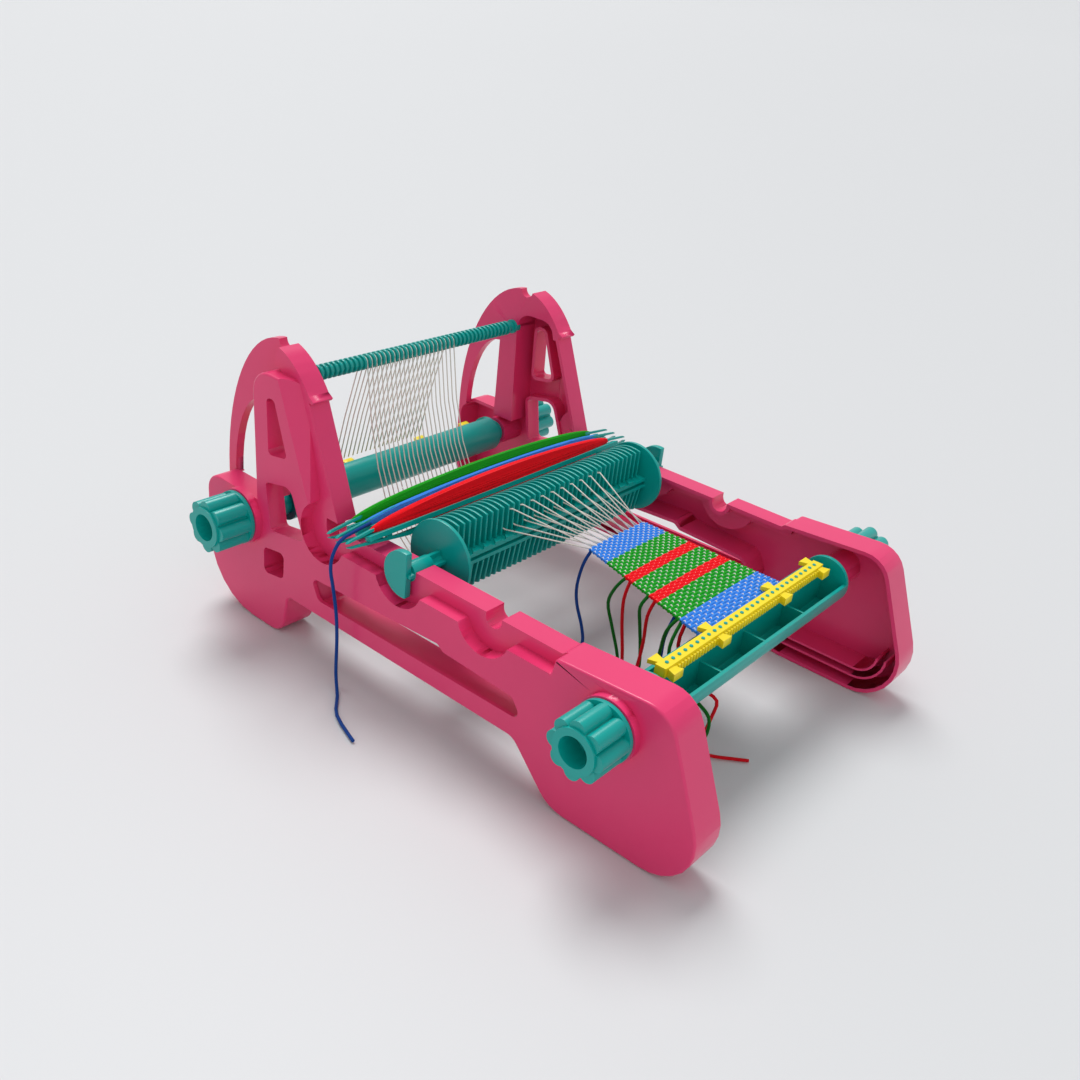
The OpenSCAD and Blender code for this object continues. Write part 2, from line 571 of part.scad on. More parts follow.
// Loose ends of weft: each leaves the left edge of the cloth and hangs
function edge(y) = [cloth_left(y) + 1, y, cloth_z];
tail_routes = [
  [edge(-30), [-13, -28, 78], [-14, -26, 62], [-13, -27, 48], [-12, -32, 34], [-12, -35, 22], [-13, -33, 10]],
  [edge(-66), [-24, -62, 80], [-22, -57, 66], [-20, -61, 50], [-19, -68, 30], [-20, -70, 14]],
  [edge(-70), [-25, -70, 76], [-23, -70, 58], [-21, -73, 32], [-22, -74, 12]],
  [edge(-88), [-31, -86, 80], [-28, -86, 66], [-26, -88, 48], [-26, -89, 33], [-28, -86, 14]],
  [edge(-94), [-31, -92, 76], [-29, -91, 56], [-28, -89, 38], [-30, -87, 15]],
  [edge(-115), [-39, -111, 78], [-37, -108, 60], [-36, -106, 46], [-36, -104, 28], [-35, -102, 12]],
  [edge(-112), [-36, -109, 72], [-33, -107, 54], [-32, -106, 38], [-33, -105, 20]],
  [edge(-118), [-46, -119, 74], [-47, -124, 58], [-46, -134, 51], [-44, -144, 46], [-43, -151, 40],
    [-43, -152, 30], [-44, -149, 18], [-44, -146, 8]],
  [edge(-121), [-40, -121, 74], [-38, -127, 56], [-36, -140, 51], [-33, -149, 46], [-33, -148, 34],
    [-34, -146, 20], [-32, -146, 7], [-26, -150, 2], [-18, -160, 1.4], [-12, -168, 1.4]],
  [[-119, y_blue - 1.4, z_shuttle + 3.8], [-132, y_blue - 1.9, z_shuttle + 2.6],
    [-143, y_blue - 2.5, z_shuttle + 0.5], [-147, 59, 94], [-146, 62, 82], [-143, 63, 68], [-142, 61, 50],
    [-142, 60, 31], [-145, 57, 10], [-153, 46, 1.6], [-166, 31, 1.4], [-175, 6, 1.4]]];
module tail(k, c) { color(c) tube(route(tail_routes[k], 4), yarn_d, 8); }
blue = "#14468C";
green = "#0A6414";
red = "#D20F1E";
module tail_blue_back() tail(0, blue);
module tail_green_back() tail(1, green);
module tail_red_back() tail(2, red);
module tail_green_mid() tail(3, green);
module tail_red_mid() tail(4, red);
module tail_green_front() tail(5, green);
module tail_blue_front() tail(6, blue);
module tail_green_beam() tail(7, green);
module tail_red_beam() tail(8, red);
module tail_blue_shuttle() tail(9, blue);

side_frame_left();
side_frame_right();
warp_beam();
warp_beam_axle_left();
warp_beam_axle_right();
warp_knob_left();
warp_knob_right();
warp_comb();
cloth_beam();
cloth_beam_axle_left();
cloth_beam_axle_right();
cloth_knob_left();
cloth_knob_right();
cloth_comb();
thread_rod();
heddle_spine();
heddle_upper_fins();
heddle_lower_fins();
heddle_disc_left();
heddle_disc_right();
heddle_handle_left();
heddle_handle_right();
shuttle_red();
shuttle_blue();
shuttle_green();
winding_red();
winding_blue();
winding_green();
woven_cloth();
warp_behind_rod();
warp_rod_to_heddle();
warp_heddle_to_cloth();
tail_blue_back();
tail_green_back();
tail_red_back();
tail_green_mid();
tail_red_mid();
tail_green_front();
tail_blue_front();
tail_green_beam();
tail_red_beam();
tail_blue_shuttle();
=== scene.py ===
import json
import math
import random

import bmesh
import bpy
from mathutils import Matrix, Vector

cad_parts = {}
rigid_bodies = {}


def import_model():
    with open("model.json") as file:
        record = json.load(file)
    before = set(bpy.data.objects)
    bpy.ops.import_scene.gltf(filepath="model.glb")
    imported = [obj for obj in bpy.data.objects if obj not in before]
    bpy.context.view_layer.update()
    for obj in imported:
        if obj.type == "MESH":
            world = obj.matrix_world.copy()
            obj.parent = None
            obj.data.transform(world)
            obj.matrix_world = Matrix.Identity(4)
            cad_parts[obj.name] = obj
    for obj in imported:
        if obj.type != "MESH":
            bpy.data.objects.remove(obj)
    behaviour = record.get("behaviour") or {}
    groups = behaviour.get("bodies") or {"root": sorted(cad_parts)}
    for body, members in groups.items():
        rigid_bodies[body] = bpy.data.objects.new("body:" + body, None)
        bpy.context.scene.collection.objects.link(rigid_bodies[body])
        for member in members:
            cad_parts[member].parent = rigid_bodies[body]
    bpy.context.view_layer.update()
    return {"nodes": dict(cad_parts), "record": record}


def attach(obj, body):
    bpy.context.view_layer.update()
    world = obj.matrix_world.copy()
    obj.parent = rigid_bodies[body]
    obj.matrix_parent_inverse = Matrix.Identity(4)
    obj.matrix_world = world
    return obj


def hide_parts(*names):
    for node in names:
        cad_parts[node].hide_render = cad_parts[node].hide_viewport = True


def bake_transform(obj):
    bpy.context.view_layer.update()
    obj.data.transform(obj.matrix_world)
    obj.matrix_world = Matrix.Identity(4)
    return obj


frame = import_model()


# ---- Studio ----
# A plain pale floor under a wide soft light from above, with a weaker one from
# the weaver's side, and a camera that looks down across the near side frame.
# The floor rises like a bowl far away, so the main view shows no horizon.
mm = 0.001
CAMERA_PLACE = (-0.5245, -0.3832, 0.4151)
CAMERA_RIGHT = (0.6459, -0.7569, 0.0994)
CAMERA_UP = (0.3011, 0.3723, 0.8779)
CAMERA_LENS = 36.67
CAMERA_SHIFT = (0.25, 9)            # in pixels of the photo
PHOTO_PIXELS = 1080
FLOOR_TONE, FLOOR_ROUGHNESS = (0.655, 0.662, 0.672, 1), 0.55
FLOOR_SIZE, FLOOR_CELLS = 120, 60   # metres across, and cells along each side
FLOOR_FLAT, FLOOR_RISE, FLOOR_DROP = 20, 0.0038, 0.0003
LAMPS = (                           # name, turn, strength, softness in degrees
    ("sun_above", (-26, 16, 0), 2.05, 30),
    ("sun_front", (50, -35, 0), 0.35, 60),
)
AIR_TONE, AIR_STRENGTH = (0.965, 0.98, 1, 1), 0.54


def select_only(*objects):
    if bpy.context.object and bpy.context.object.mode != "OBJECT":
        bpy.ops.object.mode_set(mode="OBJECT")
    bpy.ops.object.select_all(action="DESELECT")
    for one in objects:
        one.select_set(True)
        bpy.context.view_layer.objects.active = one


right, up = Vector(CAMERA_RIGHT).normalized(), Vector(CAMERA_UP)
up = (up - right * up.dot(right)).normalized()
back = right.cross(up)
bpy.ops.object.camera_add(location=CAMERA_PLACE)
camera = bpy.context.object
camera.rotation_euler = Matrix((right, up, back)).transposed().to_euler()
camera.data.lens = CAMERA_LENS
camera.data.shift_x, camera.data.shift_y = (shift / PHOTO_PIXELS for shift in CAMERA_SHIFT)
camera.data.clip_start = 0.01
bpy.context.scene.camera = camera
bpy.context.scene.view_settings.view_transform = "Standard"

bpy.ops.mesh.primitive_grid_add(x_subdivisions=FLOOR_CELLS, y_subdivisions=FLOOR_CELLS,
                                size=FLOOR_SIZE, location=(0, 0, 0))
floor = bpy.context.object
floor.name = "studio_floor"
for point in floor.data.vertices:
    far = max(0, point.co.xy.length - FLOOR_FLAT)
    point.co.z = FLOOR_RISE * far ** 2 - FLOOR_DROP
floor_finish = bpy.data.materials.new("pale_floor")
floor_finish.use_nodes = True
floor_shader = floor_finish.node_tree.nodes["Principled BSDF"]
floor_shader.inputs["Base Color"].default_value = FLOOR_TONE
floor_shader.inputs["Roughness"].default_value = FLOOR_ROUGHNESS
floor.data.materials.append(floor_finish)

for name, turn, strength, softness in LAMPS:
    bpy.ops.object.light_add(type="SUN", rotation=[math.radians(angle) for angle in turn])
    lamp = bpy.context.object
    lamp.name = name
    lamp.data.energy, lamp.data.angle = strength, math.radians(softness)
studio_air = bpy.data.worlds.new("studio_air")
bpy.context.scene.world = studio_air
studio_air.use_nodes = True
background = studio_air.node_tree.nodes["Background"]
background.inputs["Color"].default_value = AIR_TONE
background.inputs["Strength"].default_value = AIR_STRENGTH


# ---- Loose yarn ends ----
# Soft plied yarn. Each end leaves the left edge of the cloth where its stripe stops
# and hangs; two run under the cloth beam, and one falls from the blue shuttle.
# A bare place or length is in mm, and one that is multiplied by mm is in metres.
YARN_WIDTH = 2.2 * mm
CLOTH_BACK, CLOTH_SLANT, CLOTH_HEIGHT = -28.0, 0.3, 87.5
CLOTH_BACK_LEFT = -9
SHUTTLE_BLUE_Y, SHUTTLE_HEIGHT = 59.29, 102.83
RED = (0.95, 0.002, 0.01)
GREEN = (0.008, 0.36, 0.008)
BLUE = (0.045, 0.26, 0.85)
# The loose ends take darker copies of the cloth's yarn colours: painted shade on the hanging yarn.
TAIL_SHADED_TONES = {
    "red": (0.62, 0.004, 0.012),
    "green": (0.005, 0.14, 0.012),
    "blue": (0.008, 0.055, 0.27),
}
YARN_DARK, YARN_LIGHT = 0.8, 1.12
FIBRE_SCALE, SLUB_SCALE, FIBRE_SHARE = 1400, 160, 0.65
FIBRE_DEPTH = 0.35 * mm


class Sum:
    """A shader socket that can be written in sums."""

    def __init__(self, finish, socket):
        self.finish, self.socket = finish, socket

    def _join(self, operation, *others):
        return self.finish.node("ShaderNodeMath", {"operation": operation}, others)

    def __add__(self, other):
        return self._join("ADD", self, other)

    def __radd__(self, other):
        return self._join("ADD", other, self)

    def __mul__(self, other):
        return self._join("MULTIPLY", self, other)

    def __rmul__(self, other):
        return self._join("MULTIPLY", other, self)

    def __gt__(self, other):
        return self._join("GREATER_THAN", self, other)

    def __lt__(self, other):
        return self._join("LESS_THAN", self, other)


class Finish:
    """A material, with its surface shader and one way to add a node."""

    def __init__(self, name, **constants):
        self.material = bpy.data.materials.new(name)
        self.material.use_nodes = True
        self.tree = self.material.node_tree
        self.surface = self.tree.nodes["Principled BSDF"]
        for key, value in constants.items():
            self.surface.inputs[key.replace("_", " ").title()].default_value = value

    def node(self, kind, settings=None, values=(), output=0):
        made = self.tree.nodes.new(kind)
        for key, value in (settings or {}).items():
            setattr(made, key, value)
        pairs = values.items() if isinstance(values, dict) else enumerate(values)
        for key, value in pairs:
            self.put(value, made.inputs[key])
        return Sum(self, made.outputs[output])

    def put(self, value, socket):
        if isinstance(value, Sum):
            self.tree.links.new(value.socket, socket)
        else:
            socket.default_value = value

    def feed(self, **values):
        for key, value in values.items():
            self.put(value, self.surface.inputs[key.replace("_", " ").title()])
        return self

    def where(self):
        return self.node("ShaderNodeTexCoord", output="Object")

    def noise(self, scale, detail):
        return self.node("ShaderNodeTexNoise", {}, {
            "Vector": self.where(), "Scale": scale, "Detail": detail})

    def mix(self, share, a, b):
        """A colour between a and b: the Mix node's colour sockets are 6, 7 and output 2."""
        return self.node("ShaderNodeMix", {"data_type": "RGBA"}, {0: share, 6: a, 7: b}, 2)

    def bump(self, height, depth, strength):
        return self.node("ShaderNodeBump", {}, {
            "Height": height, "Distance": depth, "Strength": strength})


def shade(colour, factor):
    return (*(min(1, channel * factor) for channel in colour), 1)


def yarn_finish(name, colour):
    made = Finish(name, roughness=0.9, sheen_weight=0.08, sheen_roughness=0.45)
    made.surface.inputs["Specular IOR Level"].default_value = 0.15
    fibres = made.noise(FIBRE_SCALE, 4)
    slubs = made.noise(SLUB_SCALE, 2)
    made.feed(
        base_color=made.mix(FIBRE_SHARE * fibres + (1 - FIBRE_SHARE) * slubs,
                            shade(colour, YARN_DARK), shade(colour, YARN_LIGHT)),
        normal=made.bump(fibres, FIBRE_DEPTH, 0.7))
    return made.material


shaded_tail_finish = {colour: yarn_finish("tail_" + colour, tone) for colour, tone in TAIL_SHADED_TONES.items()}


def cloth_left(y):
    return CLOTH_BACK_LEFT - (CLOTH_BACK - y) * CLOTH_SLANT


def cloth_edge(y):
    """Where a loose end leaves the cloth, 1 mm in from its left edge."""
    return (cloth_left(y) + 1, y, CLOTH_HEIGHT)


def smooth_line(points, steps):
    """A smooth line through the points, with so many steps from each to the next."""
    line = []
    for i in range(len(points) - 1):
        a, b, c, d = (Vector(points[min(max(i + k, 0), len(points) - 1)]) for k in (-1, 0, 1, 2))
        for k in range(steps):
            t = k / steps
            line.append((2 * b + (c - a) * t + (2 * a - 5 * b + 4 * c - d) * t ** 2
                         + (3 * b - a - 3 * c + d) * t ** 3) / 2)
    return line + [Vector(points[-1])]


def strand(name, lines, width, finish, roundness):
    """Yarn along each of the lines, as one curve object."""
    data = bpy.data.curves.new(name, "CURVE")
    data.dimensions = "3D"
    data.bevel_depth = width / 2
    data.bevel_resolution = roundness
    data.use_fill_caps = True
    for line in lines:
        spline = data.splines.new("POLY")
        spline.points.add(len(line) - 1)
        for point, place in zip(spline.points, line):
            point.co = (*place, 1)
    made = bpy.data.objects.new(name, data)
    bpy.context.collection.objects.link(made)
    data.materials.append(finish)
    return made


TAILS = {
    "tail_blue_back": [cloth_edge(-30), (-13, -28, 78), (-14, -26, 62), (-13, -27, 48),
                       (-12, -32, 34), (-12, -35, 22), (-13, -33, 10)],
    "tail_green_back": [cloth_edge(-66), (-24, -62, 80), (-22, -57, 66), (-20, -61, 50),
                        (-19, -68, 30), (-20, -70, 14)],
    "tail_red_back": [cloth_edge(-70), (-25, -70, 76), (-23, -70, 58), (-21, -73, 32), (-22, -74, 12)],
    "tail_green_mid": [cloth_edge(-88), (-31, -86, 80), (-28, -86, 66), (-26, -88, 48),
                       (-26, -89, 33), (-28, -86, 14)],
    "tail_red_mid": [cloth_edge(-94), (-31, -92, 76), (-29, -91, 56), (-28, -89, 38),
                     (-30, -87, 15)],
    "tail_green_front": [cloth_edge(-115), (-39, -111, 78), (-37, -108, 60), (-36, -106, 46),
                         (-36, -104, 28), (-35, -102, 12)],
    "tail_blue_front": [cloth_edge(-112), (-36, -109, 72), (-33, -107, 54), (-32, -106, 38),
                        (-33, -105, 20)],
    "tail_green_beam": [cloth_edge(-118), (-46, -119, 74), (-47, -124, 58), (-46, -134, 51),
                        (-44, -144, 46), (-43, -151, 40), (-43, -152, 30), (-44, -149, 18),
                        (-44, -146, 8)],
    "tail_red_beam": [cloth_edge(-121), (-40, -121, 74), (-38, -127, 56), (-36, -140, 51), (-33, -149, 46),
                      (-33, -148, 34), (-34, -146, 20), (-32, -146, 7), (-26, -150, 2),
                      (-18, -160, 1.4), (-12, -168, 1.4)],
    "tail_blue_shuttle": [(-119, SHUTTLE_BLUE_Y - 1.4, SHUTTLE_HEIGHT + 3.8),
                          (-132, SHUTTLE_BLUE_Y - 1.9, SHUTTLE_HEIGHT + 2.6),
                          (-143, SHUTTLE_BLUE_Y - 2.5, SHUTTLE_HEIGHT + 0.5), (-147, 59, 94), (-146, 62, 82),
                          (-143, 63, 68), (-142, 61, 50), (-142, 60, 31), (-145, 57, 10),
                          (-153, 46, 1.6), (-166, 31, 1.4), (-175, 6, 1.4)],
}
for node, points in TAILS.items():
    colour = node.split("_")[1]
    line = [point * mm for point in smooth_line(points, 4 if len(points) < 10 else 3)]
    yarn = strand(node.replace("tail", "loose"), [line], YARN_WIDTH, shaded_tail_finish[colour], 3)
    length = sum((b - a).length for a, b in zip(line, line[1:]))
    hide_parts(node)
    colour + "_yarn"
    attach(yarn, "blue_shuttle" if node == "tail_blue_shuttle" else "frame")


# ---- Side frames ----
# Two mirrored mouldings in glossy pink plastic, open towards the middle of the loom,
# with their outer rims generously rounded by the mould and every other edge eased.
PINK = (0.80, 0.040, 0.165)
OUTER_FACE, RAIL_FACE, ARCH_FACE = 134 * mm, 125 * mm, 116 * mm
SADDLES = [-51 * mm, 17 * mm, 85 * mm]
SHAFT_HEIGHT = 93 * mm
BEAM_AXES = [(-142.5 * mm, 76 * mm), (162.5 * mm, 76 * mm)]
SADDLE_KEEP, BEAM_KEEP = 20.7 * mm, 20 * mm      # edges nearer than this to a bore stay sharp
OPENINGS = [(-90, 98, 42, 66), (118, 146, 39, 66), (98, 142, 73, 119), (115, 140, 125, 171)]
RIMS = [(OUTER_FACE, 4.5 * mm, 5), (RAIL_FACE, 2 * mm, 3), (ARCH_FACE, 2 * mm, 3)]
SHARP, SMOOTH, RIM_TURN = math.radians(35), math.radians(32), math.radians(30)
FRAME_EASED, TURNED_EASED, ROD_EASED, FINE_EASED = 0.8 * mm, 0.35 * mm, 0.6 * mm, 0.3 * mm
KNOB_EASED, STICK_EASED = 1.3 * mm, 0.7 * mm
WIDE_FACE, WIDE_CORNERS = 400 * mm ** 2, 12      # a face past either of these is shaded flat
CLOUD_SCALE, GRAIN_SCALE, GLOSS_SCALE, RIPPLE_SCALE = 22, 900, 60, 70
PLASTIC_DARK, PLASTIC_LIGHT = 0.93, 1.06
GRAIN_DEPTH = 0.06 * mm


def plastic_finish(name, colour, roughness):
    """Moulded plastic with a faint cloud of colour and a fine grain."""
    made = Finish(name, coat_weight=0.2, coat_roughness=0.22)
    made.surface.inputs["Specular IOR Level"].default_value = 0.32
    cloud = made.noise(CLOUD_SCALE, 3)
    grain = made.noise(GRAIN_SCALE, 2)
    made.feed(
        base_color=made.mix(cloud, shade(colour, PLASTIC_DARK), shade(colour, PLASTIC_LIGHT)),
        roughness=roughness - 0.05 + 0.12 * made.noise(GLOSS_SCALE, 3),
        normal=made.bump(0.3 * grain + made.noise(RIPPLE_SCALE, 1), GRAIN_DEPTH, 0.35))
    return made.material


def clean_copy(node):
    """A copy of a CAD piece with its loose triangles joined into whole faces."""
    select_only(frame["nodes"][node])
    bpy.ops.object.duplicate()
    made = bpy.context.object
    bpy.ops.object.parent_clear(type="CLEAR_KEEP_TRANSFORM")
    made.modifiers.clear()
    made.data.materials.clear()
    bpy.ops.object.mode_set(mode="EDIT")
    bpy.ops.mesh.select_all(action="SELECT")
    bpy.ops.mesh.remove_doubles(threshold=2e-6)
    bpy.ops.mesh.dissolve_limited(angle_limit=math.radians(0.4))
    bpy.ops.object.mode_set(mode="OBJECT")
    return made


def on_rim(edge, face):
    """Whether an edge lies on the outline of the frame's face at this distance from the middle."""
    if len(edge.link_faces) != 2 or edge.calc_face_angle_signed() < RIM_TURN:
        return False
    for x, y, z in (edge.verts[0].co, edge.verts[1].co):
        if abs(abs(x) - face) > 0.2 * mm:
            return False
        bores = [(saddle, SHAFT_HEIGHT, SADDLE_KEEP) for saddle in SADDLES]
        bores += [(*axis, BEAM_KEEP) for axis in BEAM_AXES]
        if any((y - bore_y) ** 2 + (z - bore_z) ** 2 < keep ** 2 for bore_y, bore_z, keep in bores):
            return False
        if any(y0 * mm < y < y1 * mm and z0 * mm < z < z1 * mm for y0, y1, z0, z1 in OPENINGS):
            return False
    return True


def round_rim(part, face, radius, segments):
    select_only(part)
    bpy.ops.object.mode_set(mode="EDIT")
    bpy.ops.mesh.select_mode(type="EDGE")
    bpy.ops.mesh.select_all(action="DESELECT")
    mesh = bmesh.from_edit_mesh(part.data)
    for edge in mesh.edges:
        if on_rim(edge, face):
            edge.select_set(True)
    bmesh.update_edit_mesh(part.data)
    bpy.ops.mesh.bevel(offset=radius, segments=segments, affect="EDGES", clamp_overlap=True)
    bpy.ops.object.mode_set(mode="OBJECT")


def ease_edges(part, radius, segments=2):
    select_only(part)
    bevel = part.modifiers.new("eased", "BEVEL")
    bevel.width, bevel.segments = radius, segments
    bevel.limit_method, bevel.angle_limit = "ANGLE", SHARP
    bevel.use_clamp_overlap = True
    bpy.ops.object.modifier_apply(modifier=bevel.name)


def flatten_shading(mesh):
    """Keeps the shading of the large flat faces flat right up to their rounded edges."""
    wide = {face.index for face in mesh.polygons
            if face.area > WIDE_FACE or len(face.vertices) > WIDE_CORNERS}
    beside = {}
    for index in wide:
        for vertex in mesh.polygons[index].vertices:
            beside.setdefault(vertex, []).append(mesh.polygons[index].normal.copy())
    normals = [corner.vector.copy() for corner in mesh.corner_normals]
    for face in mesh.polygons:
        for corner in face.loop_indices:
            if face.index in wide:
                normals[corner] = face.normal.copy()
                continue
            for normal in beside.get(mesh.loops[corner].vertex_index, ()):
                if normal.dot(normals[corner]) > 0.75:
                    normals[corner] = normal
    mesh.normals_split_custom_set(normals)


def finish_piece(part, name, node, body, finish, slot):
    part.name = name
    part.data.materials.clear()
    part.data.materials.append(finish)
    select_only(part)
    bpy.ops.object.shade_smooth_by_angle(angle=SMOOTH)
    flatten_shading(part.data)
    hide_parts(node)
    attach(part, body)


pink_plastic = plastic_finish("pink_plastic", PINK, 0.3)
for side in ("left", "right"):
    moulding = clean_copy("side_frame_" + side)
    for face, radius, segments in RIMS:
        round_rim(moulding, face, radius, segments)
    ease_edges(moulding, FRAME_EASED)
    finish_piece(moulding, side + "_frame_moulding", "side_frame_" + side, "frame",
                 pink_plastic, "pink_plastic")


# ---- Beams, axles and thread rod ----
# Teal plastic turnings and mouldings: half-round beams with end discs and pegs,
# plain axles, and a rod with ridges that keep the threads apart.
TEAL = (0.0, 0.37, 0.33)
teal_plastic = plastic_finish("teal_plastic", TEAL, 0.32)
for roller, nodes in frame["record"]["behaviour"]["bodies"].items():
    for node in nodes:
        if roller.endswith("roller") and "knob" not in node and "comb" not in node:
            turned = clean_copy(node)
            ease_edges(turned, TURNED_EASED)
            finish_piece(turned, node + "_moulding", node, roller, teal_plastic, "teal_plastic")
grooved = clean_copy("thread_rod")
ease_edges(grooved, ROD_EASED)
finish_piece(grooved, "grooved_rod", "thread_rod", "frame", teal_plastic, "teal_plastic")


# ---- Combs ----
# Bright yellow plastic bars with holes for the pegs, a toothed front edge and tabs.
YELLOW = (0.95, 0.74, 0.01)
yellow_plastic = plastic_finish("yellow_plastic", YELLOW, 0.38)
for beam in ("cloth", "warp"):
    clip = clean_copy(beam + "_comb")
    ease_edges(clip, FINE_EASED)
    finish_piece(clip, beam + "_clip_comb", beam + "_comb", beam + "_roller",
                 yellow_plastic, "yellow_plastic")


# ---- Knobs ----
# Lobed teal knobs with hollow mouths, pressed on the ends of the axles.
for beam in ("cloth", "warp"):
    for side in ("left", "right"):
        node = f"{beam}_knob_{side}"
        knob = clean_copy(node)
        ease_edges(knob, KNOB_EASED, 3)
        finish_piece(knob, node + "_moulding", node, beam + "_roller", teal_plastic, "teal_plastic")


# ---- Heddle ----
# One teal moulding: a slotted spine with rows of thin fins above and below, a disc
# at each end and a half-round handle at each end of its shaft.
for node in frame["record"]["behaviour"]["bodies"]["heddle"]:
    blade = clean_copy(node)
    ease_edges(blade, FINE_EASED if "fins" in node or "spine" in node else ROD_EASED)
    finish_piece(blade, node + "_moulding", node, "heddle", teal_plastic, "teal_plastic")


# ---- Shuttles and their windings ----
# Flat forked sticks of teal plastic, wound lengthwise with many turns of yarn.
winding_finish = {
    "red": yarn_finish("wound_red", RED),
    "blue": yarn_finish("wound_blue", BLUE),
    "green": yarn_finish("wound_green", GREEN),
}
WOUND_WIDTH, WOUND_CROWDING = 1.5 * mm, 1.15
WOUND_SINK = 0.7                    # how far in the core and the yarns' own lines lie
SHUTTLE_PLACES = {                  # y on the rails, thickness and height of the winding
    "red": (50.0, 10.0, 18),
    "blue": (SHUTTLE_BLUE_Y, 6.5, 13),
    "green": (66.70, 6.5, 18),
}
SHUTTLE_SHIFT, WOUND_LENGTH, WOUND_RISE = -7, 238, 3.5
WOUND_STEPS = 24
EDGE_BLUNT, SIDE_BLUNT, CORNER_BLUNT = 0.5, 0.35, 0.8
LEAN = math.atan2(74, 29)           # the slope of the tower's leg that the shuttles rest on


def wound_lines(colour):
    """Lengthwise turns of yarn over the lens-shaped winding, each drifting a little."""
    y, thick, tall = SHUTTLE_PLACES[colour]
    count = round(2 * (tall + thick) * mm / WOUND_WIDTH * WOUND_CROWDING)
    random.seed(len(colour))
    lines = []
    for turn in range(count):
        angle = 2 * math.pi * turn / count
        drift, phase = random.uniform(-0.12, 0.12), random.uniform(0, 6.3)
        line = []
        for step in range(-WOUND_STEPS, WOUND_STEPS + 1):
            u = math.sin(step / WOUND_STEPS * math.pi / 2)
            spin = angle + drift * math.sin(2.2 * u + phase)
            c, d = math.cos(spin), math.sin(spin)
            high = tall / 2 * (1 - u * u) ** EDGE_BLUNT - WOUND_SINK
            out = thick / 2 * (1 - u * u) ** SIDE_BLUNT - WOUND_SINK
            high = high * math.copysign(abs(c) ** CORNER_BLUNT, c) + WOUND_RISE
            out *= math.copysign(abs(d) ** CORNER_BLUNT, d)
            line.append(Vector((SHUTTLE_SHIFT + (WOUND_LENGTH / 2 - 1) * u,
                                y + high * math.cos(LEAN) - out * math.sin(LEAN),
                                SHUTTLE_HEIGHT + high * math.sin(LEAN) + out * math.cos(LEAN))) * mm)
        lines.append(line)
    return lines


def as_mesh(part):
    select_only(part)
    bpy.ops.object.convert(target="MESH")
    bpy.ops.object.shade_smooth()


for colour in ("red", "blue", "green"):
    stick = clean_copy("shuttle_" + colour)
    ease_edges(stick, STICK_EASED)
    finish_piece(stick, colour + "_stick", "shuttle_" + colour, colour + "_shuttle",
                 teal_plastic, "teal_plastic")
    core = clean_copy("winding_" + colour)
    select_only(core)
    bpy.ops.object.mode_set(mode="EDIT")
    bpy.ops.mesh.select_all(action="SELECT")
    bpy.ops.transform.shrink_fatten(value=-WOUND_SINK * mm)
    bpy.ops.object.mode_set(mode="OBJECT")
    finish_piece(core, colour + "_winding_core", "winding_" + colour, colour + "_shuttle",
                 winding_finish[colour], colour + "_yarn")
    turns = strand(colour + "_winding_turns", wound_lines(colour), WOUND_WIDTH,
                   winding_finish[colour], 1)
    as_mesh(turns)
    colour + "_yarn"
    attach(turns, colour + "_shuttle")


# ---- Warp ----
# Smooth off-white thread, one length from the warp beam over the rod, through the
# heddle and into the cloth.
thread_finish = yarn_finish("warp_thread", (0.86, 0.82, 0.74))
for node, moving, still, carried in (
    ("warp_behind_rod", "warp_roller", (0, 0, 0.112), (0, 0, 0.088)),
    ("warp_rod_to_heddle", "heddle", (0, 0.068, 0), (0, 0.028, 0)),
    ("warp_heddle_to_cloth", "heddle", (0, -0.028, 0), (0, 0.008, 0)),
):
    threads = clean_copy(node)
    threads.name = node + "_threads"
    threads.data.materials.clear()
    threads.data.materials.append(thread_finish)
    select_only(threads)
    bpy.ops.object.shade_smooth()
    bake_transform(threads)
    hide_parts(node)


# ---- Cloth ----
# A plain weave of thick weft in stripes over the thin warp, still on the loom: a thin
# ground sheet, with each row of weft and each warp thread laid through it in turn.
CLOTH_FRONT, CLOTH_RIGHT = -136.1, 51.5
WARP_COUNT, WARP_MARGIN = 21, 1.2
WEFT_WIDTH, WARP_WIDTH, GROUND_THICK = 2.05 * mm, 0.8 * mm, 0.8 * mm
WEFT_BOW, WEFT_OVERHANG = 0.45, 0.4
STRIPES = [                         # front edge, colour, pitch of the rows
    (-48, "blue", 2.1), (-65, "green", 2.2), (-73, "red", 1.7), (-89, "green", 2.2),
    (-97, "red", 1.7), (-116, "green", 2.2), (CLOTH_FRONT, "blue", 2.1)]


def warp_x(k, y):
    """Where warp thread k is across the cloth."""
    width = CLOTH_RIGHT - cloth_left(y) - 2 * WARP_MARGIN
    return cloth_left(y) + WARP_MARGIN + width * k / (WARP_COUNT - 1)


def cloth_finish():
    """Stripes across the ground sheet, by the place along the cloth, mottled toward dark blue as painted
    shade in the gaps between the rows.
    """
    made = Finish("cloth_stripes_painted_shade", roughness=0.9)
    colours = {"blue": BLUE, "green": GREEN, "red": RED}
    along = made.node("ShaderNodeSeparateXYZ", {}, [made.where()], 1)
    tone = (*colours[STRIPES[-1][1]], 1)
    for stripe_end, colour, _ in reversed(STRIPES[:-1]):
        tone = made.mix(along > stripe_end * mm, tone, (*colours[colour], 1))
    # The mottling toward a dark blue is painted shade on the sheet where it shows between the weft rows.
    made.feed(base_color=made.mix(0.5 * made.noise(900, 2), tone, shade(BLUE, 0.3)),
              normal=made.bump(made.noise(1200, 3), 0.3 * mm, 0.6))
    return made.material


def onto_roller(part, slot):
    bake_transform(part)


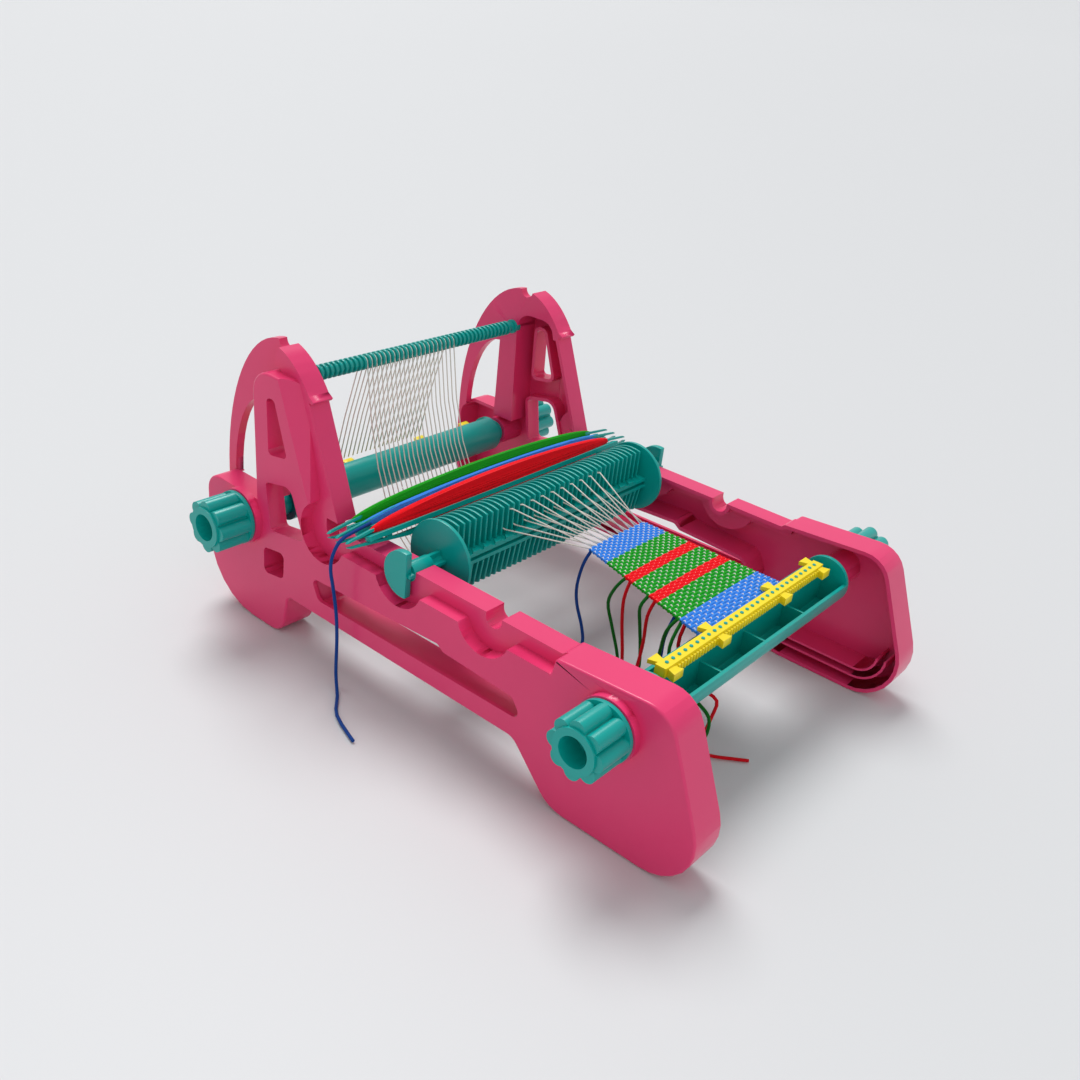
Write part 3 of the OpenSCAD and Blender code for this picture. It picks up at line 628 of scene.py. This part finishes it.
rows = []
y = CLOTH_BACK - 1
for stripe_end, colour, pitch in STRIPES:
    while y > stripe_end + 0.4:
        rows.append((y, colour))
        y -= pitch
weft = {"blue": [], "green": [], "red": []}
random.seed(5)
for i, (y, colour) in enumerate(rows):
    sway = 0.45 if colour != "red" else 0.3
    line = []
    for step in range(-1, 2 * WARP_COUNT):
        k = step / 2
        side = math.cos(math.pi * (k + i)) if step % 2 == 0 else 0
        bow = WEFT_BOW * math.sin(math.pi * max(0, min(1, k / (WARP_COUNT - 1))))
        held = max(-WEFT_OVERHANG, min(WARP_COUNT - 1 + WEFT_OVERHANG, k))
        x = warp_x(held, y) + random.uniform(-0.08, 0.08)
        line.append(Vector((x, y + bow + random.uniform(-0.1, 0.1),
                            CLOTH_HEIGHT - sway * side)) * mm)
    weft[colour].append(line)
for colour, lines in weft.items():
    rows_piece = strand(colour + "_weft", lines, WEFT_WIDTH, winding_finish[colour], 1)
    as_mesh(rows_piece)
    onto_roller(rows_piece, colour + "_yarn")
warp_lines = []
for k in range(WARP_COUNT):
    line = [Vector((warp_x(k, CLOTH_BACK), CLOTH_BACK, CLOTH_HEIGHT)) * mm]
    for i, (y, colour) in enumerate(rows):
        lift = (0.8 if colour != "red" else 0.3) * math.cos(math.pi * (k + i))
        line.append(Vector((warp_x(k, y), y, CLOTH_HEIGHT + lift)) * mm)
    warp_lines.append(smooth_line(line, 2))
warp_piece = strand("warp_in_cloth", warp_lines, WARP_WIDTH, thread_finish, 1)
as_mesh(warp_piece)
onto_roller(warp_piece, "warp_thread")

bpy.ops.mesh.primitive_grid_add(x_subdivisions=12, y_subdivisions=40, size=1)
ground = bpy.context.object
ground.name = "cloth_ground"
for point in ground.data.vertices:
    y = CLOTH_BACK + (CLOTH_FRONT - CLOTH_BACK) * (0.5 - point.co.y)
    x = cloth_left(y) + (CLOTH_RIGHT - cloth_left(y)) * (point.co.x + 0.5)
    point.co = Vector((x, y, CLOTH_HEIGHT)) * mm
solid = ground.modifiers.new("thickness", "SOLIDIFY")
solid.thickness, solid.offset = GROUND_THICK, 0
select_only(ground)
bpy.ops.object.modifier_apply(modifier=solid.name)
ground.data.materials.append(cloth_finish())
onto_roller(ground, "striped_cloth")
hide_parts("woven_cloth")
cloth_width = (CLOTH_RIGHT - cloth_left(CLOTH_FRONT)) * mm
cloth_length = (CLOTH_BACK - CLOTH_FRONT) * mm
cloth_area = ((2 * CLOTH_RIGHT - cloth_left(CLOTH_FRONT) - cloth_left(CLOTH_BACK)) / 2 * mm
              * cloth_length)
